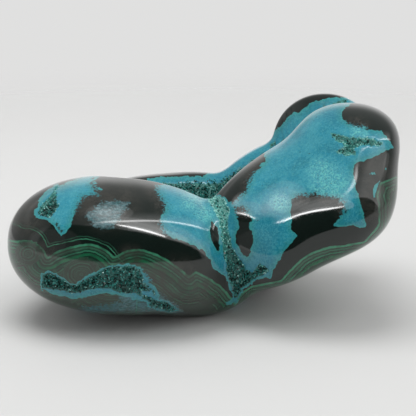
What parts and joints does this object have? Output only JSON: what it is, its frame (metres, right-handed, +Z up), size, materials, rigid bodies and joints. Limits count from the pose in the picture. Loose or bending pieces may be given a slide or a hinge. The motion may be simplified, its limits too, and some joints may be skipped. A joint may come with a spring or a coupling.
{
  "type": "chrysocolla specimen",
  "caption": "Polished freeform of blue chrysocolla with dark and green-banded malachite and crystal-lined hollows, bent like a V, resting on a flat.",
  "frame": {"origin": "middle of the stone's outline in plan, at the level of the flat that it rests on", "axes": "+Z up; +X along the length, towards the end that rises; -Y towards the face with the cleft where the two lobes meet"},
  "size_m": [0.1074, 0.068, 0.0583],
  "materials": {
    "polished_stone": "gloss polish, with dull crystal-lined hollows"
  },
  "bodies": {
    "root": {"chrysocolla_stone": "polished_stone"}
  },
  "joints": []
}
